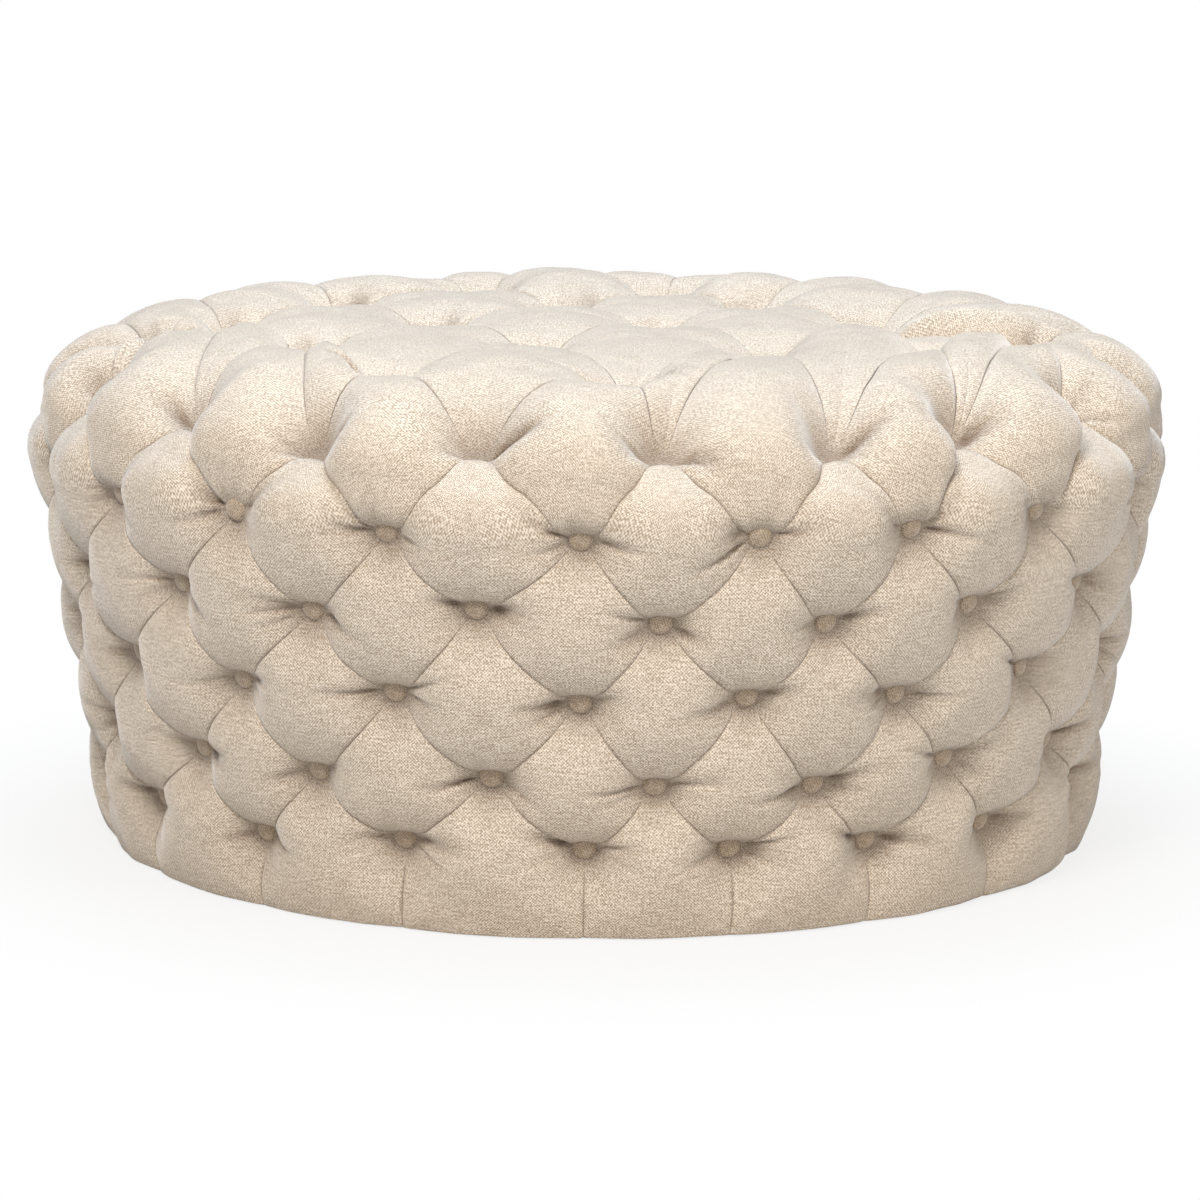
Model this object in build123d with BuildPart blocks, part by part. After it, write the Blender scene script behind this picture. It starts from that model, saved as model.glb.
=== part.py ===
from build123d import *
import os
from math import asin, cos, degrees, pi, radians, sin, sqrt

os.makedirs("parts", exist_ok=True)

# Driving sizes of the ottoman, in millimetres and degrees
overall_height = 457.0
button_columns = 20
lattice_turn = -3.0
wall_radius_floor = 422.0
wall_lean_share = 0.177
rim_button_radius = 461.0
top_cover_radius = 362.0
row_height_shares = (0.146, 0.273, 0.430, 0.575, 0.730)
rim_row_height = 390.0

# Tufted form of the cover
puff_depth = 22.0
top_puff_depth = 38.0
rim_valley_depth = 34.0
rim_valley_width = 45.0
crease_lift_share = 0.45
seat_width_share = 0.18
seat_crown = 0.15
seat_half_height = 12.0
step_shares = (0.33, 0.67)
top_pitch = 195.0
top_strip_pairs = 3
top_row_places = (-430.0, -290.0, -78.0, 68.0, 195.0, 315.0, 440.0)

# Edge of the cover below the lowest buttons, upwards from the floor edge
foot_height_shares = (0.0, 0.16, 0.50)
foot_inset_shares = (0.34, 0.08, 0.0)

# Rolled rim above the rim buttons, upwards
rim_height_shares = (0.40, 0.62, 0.80, 0.92, 0.985)
rim_radius_shares = (0.90, 0.76, 0.57, 0.34, 0.12)
rim_width_shares = (0.72, 0.60, 0.48, 0.38, 0.30)
rim_crown_shares = (1.25, 1.15, 1.0, 0.80, 0.55)

# Layers of the padding
cover_at_button = 14.0
wadding_thickness = 6.0
side_foam_thickness = 22.0
top_foam_thickness = 40.0
top_wadding_thickness = 8.0
top_cover_at_button = 7.0
rim_pad_inset = 16.0
soft_clearance = 0.3

# Boards, posts and rails of the frame
glide_height = 6.0
board_thickness = 18.0
panel_thickness = 3.2
panel_seam_gap = 0.8
base_opening_radius = 250.0
post_count = 8
post_width = 38.0
post_depth = 45.0
rail_depth = 45.0
rail_thickness = 22.0
joinery_clearance = 0.2

# Covered buttons, their twine and washers
button_diameter = 22.0
button_edge = 3.0
button_dome = 5.5
twine_diameter = 1.6
twine_clearance = 0.4
washer_diameter = 14.0
washer_thickness = 1.5

# Screws, nails and staples
screw_diameter = 4.5
screw_head_diameter = 9.0
screw_head_depth = 3.0
screw_length = 50.0
nail_diameter = 1.8
nail_head_diameter = 5.0
nail_head_thickness = 0.8
nail_length = 20.0
nail_rows = 3
nail_inset = 0.5
staple_crown = 10.0
staple_wire = 0.8
staple_leg = 8.0
hem_staple_count = 40
dust_staple_count = 24

# Underside
hem_thickness = 1.2
hem_width = 40.0
dust_cover_thickness = 0.6
glide_diameter = 24.0
glide_circle_radius = 300.0
glide_edge = 1.0
glide_nail_diameter = 2.5
glide_nail_length = 16.0
dust_staple_inset = 10.0
hem_staple_inset = 22.0
cut_overrun = 5.0

# Places that follow from the sizes above
column_angle = 360.0 / button_columns
half_column = column_angle / 2
cover_bottom = glide_height - hem_thickness
base_top = glide_height + board_thickness
top_cover_bottom = overall_height - top_puff_depth - top_cover_at_button
top_wadding_bottom = top_cover_bottom - top_wadding_thickness
deck_top = top_wadding_bottom - top_foam_thickness
deck_bottom = deck_top - board_thickness
row_heights = [share * overall_height for share in row_height_shares]
twine_bore = twine_diameter + 2 * twine_clearance
post_turn = lattice_turn + half_column / 2
post_angle = 360.0 / post_count
top_button_height = overall_height - top_puff_depth


def wall_radius(height):
    """Radius on which the buttons of the side sit, which grows with the height."""
    return wall_radius_floor + wall_lean_share * height


def pad_radius(height):
    """Outer face of the side wadding."""
    return wall_radius(height) - cover_at_button


def foam_radius(height):
    """Outer face of the side foam."""
    return pad_radius(height) - wadding_thickness


def frame_radius(height):
    """Outer face of the bent side panel."""
    return foam_radius(height) - side_foam_thickness


def board_radius(height):
    """Sloped edge of the boards, inside the bent panel."""
    return frame_radius(height) - panel_thickness


def post_face(height):
    """Outer face of a post, whose two corners touch the bent panel."""
    return sqrt(board_radius(height) ** 2 - (post_width / 2) ** 2)


def around(radius, angle, height):
    """A point on a circle round the axis; an angle of zero is the front, towards -Y."""
    turn = radians(angle)
    return (radius * sin(turn), -radius * cos(turn), height)


def facing_out(radius, angle, height):
    """A plane on that circle that faces outwards, with its y axis up."""
    turn = radians(angle)
    return Plane(
        origin=around(radius, angle, height),
        x_dir=(cos(turn), sin(turn), 0),
        z_dir=(sin(turn), -cos(turn), 0),
    )


def under(radius, angle, height):
    """A plane on that circle that faces down, with x along the circle."""
    turn = radians(angle)
    return Plane(origin=around(radius, angle, height), x_dir=(cos(turn), sin(turn), 0), z_dir=(0, 0, -1))


def through_axis(angle):
    """The upright plane through the axis, with x outwards and y up."""
    turn = radians(angle)
    return Plane(origin=(0, 0, 0), x_dir=(sin(turn), -cos(turn), 0), z_dir=(-cos(turn), -sin(turn), 0))


def save(piece, name):
    """Label a finished piece and write it."""
    piece.part.label = name
    export_step(piece.part, f"parts/{name}.step")


def fullness(share):
    """How far a puff rises for its share of a column: none at a button, all at its widest."""
    return (1 - cos(pi * share) / cos(pi * seat_width_share)) / 2


def scallop(height, button_radius, crown, whole_share, crease_share):
    """One outline of the side cover: an arc for each puff on a whole and on a half column."""
    crease = button_radius + crown * crease_share
    with BuildSketch(Plane.XY.offset(height)) as outline:
        with BuildLine():
            for column in range(button_columns):
                for centre, share in ((column, whole_share), (column + 1 / 2, 1 - whole_share)):
                    crest = crease + seat_crown + crown * (1 - crease_share) * fullness(share)
                    start = lattice_turn + (centre - share / 2) * column_angle
                    middle = lattice_turn + centre * column_angle
                    end = lattice_turn + (centre + share / 2) * column_angle
                    ThreePointArc(
                        around(crease, start, 0)[:2],
                        around(crest, middle, 0)[:2],
                        around(crease, end, 0)[:2],
                    )
        make_face()
    return outline.sketch


def row_width(row):
    """Share of a whole column's puff at a row: rows 0, 2 and 4 have their buttons there."""
    return seat_width_share if row % 2 == 0 else 1 - seat_width_share


def side_places(inset):
    """A plane behind each side button, facing out, at an inset from the buttons' own radius."""
    places = []
    for row, height in enumerate(row_heights):
        for column in range(button_columns):
            angle = lattice_turn + (column + (row % 2) / 2) * column_angle
            places.append(facing_out(wall_radius(height) - inset, angle, height))
    return places


def rim_places(overrun):
    """A plane at each rim button, facing down and inwards along its twine."""
    places = []
    for angle in rim_angles:
        start = Vector(around(rim_button_radius + overrun, angle, rim_row_height + overrun))
        inwards = Vector(around(-1, angle, -1))
        places.append(Plane(origin=start, z_dir=inwards))
    return places


rim_angles = [lattice_turn + (column + 1 / 2) * column_angle for column in range(button_columns)]
rim_reach = rim_row_height - deck_bottom
twine_length = wall_radius(0) - board_radius(0)
from_start = (Align.CENTER, Align.CENTER, Align.MIN)

# Bores for the twine, which pass through every layer behind a button
with BuildPart() as side_bores:
    with Locations(*side_places(twine_length + cut_overrun)):
        Cylinder(twine_bore / 2, twine_length + cut_overrun + puff_depth, align=from_start)

with BuildPart() as rim_bores:
    with Locations(*rim_places(cut_overrun)):
        Cylinder(twine_bore / 2, (rim_reach + 2 * cut_overrun) * sqrt(2), align=from_start)

top_buttons_at = []
for row, row_y in enumerate(top_row_places):
    row_side = 1 if row % 2 == 1 else -1
    for strip in range(-top_strip_pairs, top_strip_pairs + 1):
        spot_x = strip * top_pitch + row_side * top_pitch / 4
        if sqrt(spot_x**2 + row_y**2) < top_cover_radius - button_diameter / 2:
            top_buttons_at.append((spot_x, row_y))

with BuildPart() as top_bores:
    with BuildSketch(Plane.XY.offset(deck_bottom - cut_overrun)):
        with Locations(*top_buttons_at):
            Circle(twine_bore / 2)
    extrude(amount=overall_height - deck_bottom)

# Space that the padding fills inside the cover
with BuildPart() as pad_space:
    with BuildSketch(Plane.XZ):
        with BuildLine():
            Polyline(
                (0, cover_bottom - cut_overrun),
                (pad_radius(cover_bottom - cut_overrun), cover_bottom - cut_overrun),
                (pad_radius(deck_bottom), deck_bottom),
                (rim_button_radius - cover_at_button, rim_row_height),
                (rim_button_radius - cover_at_button - rim_pad_inset, top_cover_bottom),
                (top_cover_radius, top_cover_bottom),
                (top_cover_radius, overall_height - rim_valley_depth),
                (top_cover_radius + rim_valley_width, overall_height),
                (top_cover_radius + rim_valley_width, overall_height + cut_overrun),
                (0, overall_height + cut_overrun),
                close=True,
            )
        make_face()
    revolve(axis=Axis.Z)

# Side cover: puffs in diamonds from the floor edge over the rolled rim
side_outlines = []
lowest = row_heights[0]
for rise, inset in zip(foot_height_shares, foot_inset_shares):
    height = cover_bottom + rise * (lowest - seat_half_height - cover_bottom)
    radius = wall_radius(height) - inset * puff_depth
    side_outlines.append(scallop(height, radius, puff_depth, row_width(0), 0))
all_heights = row_heights + [rim_row_height]
all_radii = [wall_radius(height) for height in row_heights] + [rim_button_radius]
for row, height in enumerate(all_heights):
    radius = all_radii[row]
    for edge in (height - seat_half_height, height + seat_half_height):
        side_outlines.append(scallop(edge, radius, puff_depth, row_width(row), 0))
    if row + 1 < len(all_heights):
        free = all_heights[row + 1] - height - 2 * seat_half_height
        for step in step_shares:
            outline = scallop(
                height + seat_half_height + step * free,
                radius + step * (all_radii[row + 1] - radius),
                puff_depth,
                row_width(row) + step * (row_width(row + 1) - row_width(row)),
                crease_lift_share * sin(pi * step),
            )
            side_outlines.append(outline)
rim_steps = zip(rim_height_shares, rim_radius_shares, rim_width_shares, rim_crown_shares)
for rise, reach, width, crown in rim_steps:
    outline = scallop(
        rim_row_height + rise * (overall_height - rim_row_height),
        top_cover_radius + reach * (rim_button_radius - top_cover_radius),
        puff_depth * crown,
        width,
        crease_lift_share * (1 - width),
    )
    side_outlines.append(outline)

with BuildPart() as side_cover:
    loft(side_outlines, ruled=True)
    add(pad_space.part, mode=Mode.SUBTRACT)
    add(side_bores.part, mode=Mode.SUBTRACT)
    add(rim_bores.part, mode=Mode.SUBTRACT)
save(side_cover, "side_cover")


def ripple(row_y, whole_share, crease_share):
    """One upright outline across the top cover: an arc for each puff, on a flat bottom."""
    crease = top_button_height + top_puff_depth * crease_share
    with BuildSketch(Plane.XZ.offset(-row_y)) as outline:
        with BuildLine():
            first = (1 / 4 - top_strip_pairs - whole_share / 2) * top_pitch
            left = first
            for strip in range(-top_strip_pairs, top_strip_pairs):
                for centre, share in ((1 / 4, whole_share), (3 / 4, 1 - whole_share)):
                    middle = (strip + centre) * top_pitch
                    right = middle + share * top_pitch / 2
                    rise = top_puff_depth - seat_crown
                    crest = crease + seat_crown + rise * (1 - crease_share) * fullness(share)
                    ThreePointArc((left, crease), (middle, crest), (right, crease))
                    left = right
            Line((left, crease), (left, top_cover_bottom))
            Line((left, top_cover_bottom), (first, top_cover_bottom))
            Line((first, top_cover_bottom), (first, crease))
        make_face()
    return outline.sketch


# Top cover: straight rows of long diamonds, flared where their puffs lie over the rim
top_outlines = []
for row, row_y in enumerate(top_row_places):
    width = seat_width_share if row % 2 == 1 else 1 - seat_width_share
    top_outlines.append(ripple(row_y - seat_half_height, width, 0))
    top_outlines.append(ripple(row_y + seat_half_height, width, 0))
    if row + 1 < len(top_row_places):
        free = top_row_places[row + 1] - row_y - 2 * seat_half_height
        for step in step_shares:
            edge = row_y + seat_half_height + step * free
            lift = crease_lift_share * sin(pi * step)
            top_outlines.append(ripple(edge, width + step * (1 - 2 * width), lift))

top_cover_edge = top_cover_radius - soft_clearance
with BuildPart() as top_cover:
    loft(top_outlines, ruled=True)
    with BuildSketch(Plane.XZ):
        with BuildLine():
            Polyline(
                (0, top_cover_bottom),
                (top_cover_edge, top_cover_bottom),
                (top_cover_edge, overall_height - rim_valley_depth),
                (top_cover_edge + rim_valley_width, overall_height),
                (top_cover_edge + rim_valley_width, overall_height + cut_overrun),
                (0, overall_height + cut_overrun),
                close=True,
            )
        make_face()
    revolve(axis=Axis.Z, mode=Mode.INTERSECT)
    add(top_bores.part, mode=Mode.SUBTRACT)
save(top_cover, "top_cover")


def drum(low, high, outer, inner):
    """A ring round the axis between two heights, with outer and inner given as radius functions."""
    with BuildSketch(Plane.XZ) as band:
        with BuildLine():
            Polyline(
                (inner(low), low),
                (outer(low), low),
                (outer(high), high),
                (inner(high), high),
                close=True,
            )
        make_face()
    return band.sketch


def foam_inner(height):
    """Inner face of the side foam, just off the panel."""
    return frame_radius(height) + soft_clearance


def wadding_inner(height):
    """Inner face of the side wadding, just off the foam."""
    return foam_radius(height) + soft_clearance


def wadding_outer(height):
    """Outer face of the side wadding, just inside the cover."""
    return pad_radius(height) - soft_clearance


# Side foam and wadding, from the underside of the base board to the deck
with BuildPart() as side_foam:
    revolve(drum(glide_height, deck_bottom, foam_radius, foam_inner), axis=Axis.Z)
    add(side_bores.part, mode=Mode.SUBTRACT)
save(side_foam, "side_foam")

with BuildPart() as side_wadding:
    revolve(drum(glide_height, deck_bottom, wadding_outer, wadding_inner), axis=Axis.Z)
    add(side_bores.part, mode=Mode.SUBTRACT)
save(side_wadding, "side_wadding")

# Top foam: a thick disc on the deck whose edge laps the side foam
foam_shoulder = rim_button_radius - cover_at_button - top_wadding_thickness
with BuildPart() as top_foam:
    with BuildSketch(Plane.XZ):
        with BuildLine():
            Polyline(
                (0, deck_top),
                (foam_shoulder, deck_top),
                (foam_shoulder, rim_row_height - top_wadding_thickness),
                (foam_shoulder - rim_pad_inset, top_wadding_bottom),
                (0, top_wadding_bottom),
                close=True,
            )
        make_face()
    revolve(axis=Axis.Z)
    add(top_bores.part, mode=Mode.SUBTRACT)
    add(rim_bores.part, mode=Mode.SUBTRACT)
save(top_foam, "top_foam")

# Top wadding: a soft cap over the foam and down its edge
cap_inner = foam_shoulder + soft_clearance
cap_outer = rim_button_radius - cover_at_button - soft_clearance
cap_top = top_cover_bottom - soft_clearance
cap_bottom = top_wadding_bottom + soft_clearance
with BuildPart() as top_wadding:
    with BuildSketch(Plane.XZ):
        with BuildLine():
            Polyline(
                (0, cap_bottom),
                (foam_shoulder - rim_pad_inset + soft_clearance, cap_bottom),
                (cap_inner, rim_row_height - top_wadding_thickness + soft_clearance),
                (cap_inner, deck_top),
                (cap_outer, deck_top),
                (cap_outer, rim_row_height),
                (cap_outer - rim_pad_inset, cap_top),
                (0, cap_top),
                close=True,
            )
        make_face()
    revolve(axis=Axis.Z)
    add(top_bores.part, mode=Mode.SUBTRACT)
    add(rim_bores.part, mode=Mode.SUBTRACT)
save(top_wadding, "top_wadding")

# Countersunk screw, head up, with its head's face at the origin
with BuildPart() as screw:
    with BuildSketch(Plane.XZ):
        with BuildLine():
            Polyline(
                (0, 0),
                (screw_head_diameter / 2, 0),
                (screw_diameter / 2, -screw_head_depth),
                (screw_diameter / 2, -screw_length + screw_head_depth),
                (0, -screw_length),
                close=True,
            )
        make_face()
    revolve(axis=Axis.Z)

post_angles = [post_turn + post * post_angle for post in range(post_count)]
deck_screw_radius = post_face(deck_bottom) - post_depth / 2
base_screw_radius = post_face(base_top) - post_depth / 2

with BuildPart() as deck_screws:
    with Locations(*[around(deck_screw_radius, angle, deck_top) for angle in post_angles]):
        add(screw.part)
save(deck_screws, "deck_screws")

with BuildPart() as base_screws:
    with Locations(*[under(base_screw_radius, angle, glide_height) for angle in post_angles]):
        add(screw.part)
save(base_screws, "base_screws")

# Nail that holds the bent panel on a post, head outwards
with BuildPart() as nail:
    with BuildSketch():
        Circle(nail_head_diameter / 2)
    extrude(amount=-nail_head_thickness)
    with BuildSketch():
        Circle(nail_diameter / 2)
    extrude(amount=-nail_length)

nail_pitch = (deck_bottom - base_top) / nail_rows
nail_places = []
for angle in post_angles:
    for place in range(nail_rows):
        height = base_top + (place + 1 / 2) * nail_pitch
        for side in (-1, 1):
            spread = degrees(side * post_width / 4 / frame_radius(height))
            nail_places.append(facing_out(frame_radius(height) - nail_inset, angle + spread, height))
with BuildPart() as panel_nails:
    with Locations(*nail_places):
        add(nail.part)
save(panel_nails, "panel_nails")

# Staple, crown at the origin plane, legs down
with BuildPart() as staple:
    with BuildSketch(Plane.XZ):
        with BuildLine():
            Polyline(
                (-staple_crown / 2, staple_wire),
                (staple_crown / 2, staple_wire),
                (staple_crown / 2, -staple_leg),
                (staple_crown / 2 - staple_wire, -staple_leg),
                (staple_crown / 2 - staple_wire, 0),
                (-staple_crown / 2 + staple_wire, 0),
                (-staple_crown / 2 + staple_wire, -staple_leg),
                (-staple_crown / 2, -staple_leg),
                close=True,
            )
        make_face()
    extrude(amount=staple_wire / 2, both=True)

hem_inner = board_radius(glide_height) - hem_width
hem_staple_radius = board_radius(glide_height) - hem_staple_inset
dust_staple_radius = hem_inner - dust_staple_inset
hem_step = 360 / hem_staple_count
hem_angles = [place * hem_step for place in range(hem_staple_count)]
with BuildPart() as hem_staples:
    with Locations(*[under(hem_staple_radius, angle, cover_bottom) for angle in hem_angles]):
        add(staple.part)
save(hem_staples, "hem_staples")

dust_bottom = glide_height - dust_cover_thickness
dust_step = 360 / dust_staple_count
dust_angles = [(place + 1 / 2) * dust_step for place in range(dust_staple_count)]
with BuildPart() as dust_cover_staples:
    with Locations(*[under(dust_staple_radius, angle, dust_bottom) for angle in dust_angles]):
        add(staple.part)
save(dust_cover_staples, "dust_cover_staples")

# Glides and their nails, one below each post
glide_spots = [around(glide_circle_radius, angle, 0) for angle in post_angles]
with BuildPart() as glides:
    with BuildSketch():
        with Locations(*[spot[:2] for spot in glide_spots]):
            Circle(glide_diameter / 2)
    extrude(amount=dust_bottom)
    chamfer(glides.edges().group_by(Axis.Z)[0], length=glide_edge)
    with BuildSketch(Plane.XY.offset(dust_bottom)):
        with Locations(*[spot[:2] for spot in glide_spots]):
            Circle(glide_nail_diameter / 2)
    extrude(amount=-dust_bottom / 2, mode=Mode.SUBTRACT)
save(glides, "glides")

with BuildPart() as glide_nails:
    with BuildSketch(Plane.XY.offset(dust_bottom / 2)):
        with Locations(*[spot[:2] for spot in glide_spots]):
            Circle(glide_nail_diameter / 2)
    extrude(amount=glide_nail_length)
save(glide_nails, "glide_nails")

# Turned under hem and cambric dust cover, below the base board
with BuildPart() as cover_hem:
    with BuildSketch(Plane.XY.offset(cover_bottom)):
        Circle(pad_radius(cover_bottom) - soft_clearance)
        Circle(hem_inner, mode=Mode.SUBTRACT)
    extrude(amount=hem_thickness)
    add(hem_staples.part, mode=Mode.SUBTRACT)
save(cover_hem, "cover_hem")

with BuildPart() as dust_cover:
    with BuildSketch(Plane.XY.offset(dust_bottom)):
        Circle(hem_inner - soft_clearance)
    extrude(amount=dust_cover_thickness)
    add(dust_cover_staples.part, mode=Mode.SUBTRACT)
    add(glide_nails.part, mode=Mode.SUBTRACT)
save(dust_cover, "dust_cover")


def opening(height):
    """Inner edge of the base board."""
    return base_opening_radius


# Base board: a plywood ring
with BuildPart() as base_board:
    revolve(drum(glide_height, base_top, board_radius, opening), axis=Axis.Z)
    add(base_screws.part, mode=Mode.SUBTRACT)
    add(hem_staples.part, mode=Mode.SUBTRACT)
    add(dust_cover_staples.part, mode=Mode.SUBTRACT)
    add(glide_nails.part, mode=Mode.SUBTRACT)
save(base_board, "base_board")

# Top deck: a plywood disc, drilled for the twine of the top and rim buttons
with BuildPart() as top_deck:
    with BuildSketch(Plane.XZ):
        with BuildLine():
            Polyline(
                (0, deck_bottom),
                (board_radius(deck_bottom), deck_bottom),
                (board_radius(deck_top), deck_top),
                (0, deck_top),
                close=True,
            )
        make_face()
    revolve(axis=Axis.Z)
    add(top_bores.part, mode=Mode.SUBTRACT)
    add(rim_bores.part, mode=Mode.SUBTRACT)
    add(deck_screws.part, mode=Mode.SUBTRACT)
save(top_deck, "top_deck")

# Raked posts between the two boards
for post, angle in enumerate(post_angles, start=1):
    with BuildPart() as upright:
        with BuildSketch(through_axis(angle)):
            with BuildLine():
                Polyline(
                    (post_face(base_top) - post_depth, base_top),
                    (post_face(base_top), base_top),
                    (post_face(deck_bottom), deck_bottom),
                    (post_face(deck_bottom) - post_depth, deck_bottom),
                    close=True,
                )
            make_face()
        extrude(amount=post_width / 2, both=True)
        add(deck_screws.part, mode=Mode.SUBTRACT)
        add(base_screws.part, mode=Mode.SUBTRACT)
        add(panel_nails.part, mode=Mode.SUBTRACT)
    save(upright, f"upright_{post}")

# Two rails on edge under the deck, half lapped where they cross
rail_bottom = deck_bottom - rail_depth
rail_half = post_face(rail_bottom) - post_depth - joinery_clearance
lap_middle = rail_bottom + rail_depth / 2
lap_half = rail_thickness / 2 + joinery_clearance


def rail(angle, lap_low, lap_high):
    """One rail through the axis, notched between two heights for the other rail."""
    with BuildPart() as beam:
        with BuildSketch(through_axis(angle)):
            with BuildLine():
                Polyline(
                    (-rail_half, rail_bottom),
                    (rail_half, rail_bottom),
                    (rail_half, deck_bottom),
                    (-rail_half, deck_bottom),
                    close=True,
                )
            make_face()
        extrude(amount=rail_thickness / 2, both=True)
        with BuildSketch(through_axis(angle)):
            with BuildLine():
                Polyline(
                    (-lap_half, lap_low),
                    (lap_half, lap_low),
                    (lap_half, lap_high),
                    (-lap_half, lap_high),
                    close=True,
                )
            make_face()
        extrude(amount=rail_thickness, both=True, mode=Mode.SUBTRACT)
    return beam


deck_rail_long = rail(post_angles[0], lap_middle, deck_bottom + cut_overrun)
save(deck_rail_long, "deck_rail_long")
deck_rail_cross = rail(post_angles[post_count // 4], rail_bottom - cut_overrun, lap_middle)
save(deck_rail_cross, "deck_rail_cross")

# Bent side panels: two halves that meet on a post
seam_angle = degrees(panel_seam_gap / frame_radius(base_top))
for side, first in (("left", post_angles[0]), ("right", post_angles[post_count // 2])):
    with BuildPart() as side_panel:
        with BuildSketch(through_axis(first + seam_angle / 2)):
            with BuildLine():
                Polyline(
                    (board_radius(glide_height), glide_height),
                    (frame_radius(glide_height), glide_height),
                    (frame_radius(deck_top), deck_top),
                    (board_radius(deck_top), deck_top),
                    close=True,
                )
            make_face()
        revolve(axis=Axis.Z, revolution_arc=180 - seam_angle)
        add(side_bores.part, mode=Mode.SUBTRACT)
        add(panel_nails.part, mode=Mode.SUBTRACT)
    save(side_panel, f"side_panel_{side}")

# Covered button, its flat back on the origin plane and its face a cap of a ball
button_top = button_edge + button_dome
ball_radius = ((button_diameter / 2) ** 2 + button_dome**2) / (2 * button_dome)
shoulder_turn = asin(button_diameter / 2 / ball_radius) / 2
shoulder = (ball_radius * sin(shoulder_turn), button_top - ball_radius * (1 - cos(shoulder_turn)))
with BuildPart() as button:
    with BuildSketch(Plane.XZ):
        with BuildLine():
            Line((0, 0), (button_diameter / 2, 0))
            Line((button_diameter / 2, 0), (button_diameter / 2, button_edge))
            ThreePointArc((button_diameter / 2, button_edge), shoulder, (0, button_top))
            Line((0, button_top), (0, 0))
        make_face()
    revolve(axis=Axis.Z)

button_places = side_places(-soft_clearance)
for row in range(len(row_heights)):
    with BuildPart() as button_row:
        with Locations(*button_places[row * button_columns : (row + 1) * button_columns]):
            add(button.part)
    save(button_row, f"button_row_{row + 1}")

rim_seat_radius = rim_button_radius + soft_clearance
with BuildPart() as rim_buttons:
    with Locations(*[facing_out(rim_seat_radius, angle, rim_row_height) for angle in rim_angles]):
        add(button.part)
save(rim_buttons, "rim_buttons")

with BuildPart() as top_buttons:
    with Locations(*[(x, y, top_button_height + soft_clearance) for x, y in top_buttons_at]):
        add(button.part)
save(top_buttons, "top_buttons")

# Twine from each button through the layers to its washer
with BuildPart() as side_twine:
    with Locations(*side_places(twine_length)):
        Cylinder(twine_diameter / 2, twine_length, align=from_start)
save(side_twine, "side_twine")

with BuildPart() as rim_twine:
    with Locations(*rim_places(0)):
        Cylinder(twine_diameter / 2, rim_reach * sqrt(2) - twine_diameter, align=from_start)
save(rim_twine, "rim_twine")

with BuildPart() as top_twine:
    with BuildSketch(Plane.XY.offset(deck_bottom)):
        with Locations(*top_buttons_at):
            Circle(twine_diameter / 2)
    extrude(amount=top_button_height - deck_bottom)
save(top_twine, "top_twine")

# Washers that the twine is tied to, behind the panel and below the deck
washer_inset = washer_thickness + washer_diameter / 2 * wall_lean_share + joinery_clearance
with BuildPart() as side_washers:
    with Locations(*side_places(twine_length + washer_inset)):
        Cylinder(washer_diameter / 2, washer_thickness, align=from_start)
save(side_washers, "side_washers")

rim_washer_spots = [around(rim_button_radius - rim_reach, angle, 0)[:2] for angle in rim_angles]
with BuildPart() as rim_washers:
    with BuildSketch(Plane.XY.offset(deck_bottom)):
        with Locations(*rim_washer_spots):
            Circle(washer_diameter / 2)
    extrude(amount=-washer_thickness)
save(rim_washers, "rim_washers")

with BuildPart() as top_washers:
    with BuildSketch(Plane.XY.offset(deck_bottom)):
        with Locations(*top_buttons_at):
            Circle(washer_diameter / 2)
    extrude(amount=-washer_thickness)
save(top_washers, "top_washers")
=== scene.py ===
import math
import random

import bmesh
import bpy
import numpy as np
from mathutils import Matrix, Vector


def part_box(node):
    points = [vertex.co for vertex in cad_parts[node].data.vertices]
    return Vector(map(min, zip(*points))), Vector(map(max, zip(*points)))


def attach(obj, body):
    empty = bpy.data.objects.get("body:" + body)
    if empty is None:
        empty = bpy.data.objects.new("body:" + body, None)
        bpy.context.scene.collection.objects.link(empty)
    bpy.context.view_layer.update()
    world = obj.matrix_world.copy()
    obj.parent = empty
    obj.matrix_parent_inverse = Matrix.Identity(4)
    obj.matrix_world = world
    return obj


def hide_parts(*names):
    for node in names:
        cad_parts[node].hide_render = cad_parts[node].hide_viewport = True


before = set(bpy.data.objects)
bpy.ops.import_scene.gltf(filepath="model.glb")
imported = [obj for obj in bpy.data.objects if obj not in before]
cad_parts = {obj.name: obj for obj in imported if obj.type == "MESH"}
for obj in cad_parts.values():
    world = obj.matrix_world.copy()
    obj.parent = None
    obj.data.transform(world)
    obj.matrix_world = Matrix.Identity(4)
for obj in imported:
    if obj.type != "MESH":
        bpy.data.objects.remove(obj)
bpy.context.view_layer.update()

# Sizes of the lattice, the cover and the base, in metres
TURN = math.radians(-3.0)
COLUMNS = 20
COLUMN = 2 * math.pi / COLUMNS
WALL_FLOOR = 0.422
WALL_LEAN = 0.177
SIDE_FROM = 0.400
RIM_RADIUS = 0.455
BUTTON_RADIUS = 0.0102
BUTTON_HEIGHT = 0.0070
SEAT_GAP = 0.0003
COVER_BOTTOM = 0.0014
HEM_RADIUS = 0.4225
LINING_LOW = 0.4092
LINING_HIGH = 0.4448
LINING_TOP = 0.3645
HEM_INNER = 0.3380
BASE_OPENING = 0.250
SHEET_CLEARANCE = 0.0001
DUST_COVER_SAG = ((0.0, 0.0011), (0.11, 0.0009), (0.19, 0.0004), (BASE_OPENING, 0.0))

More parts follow.
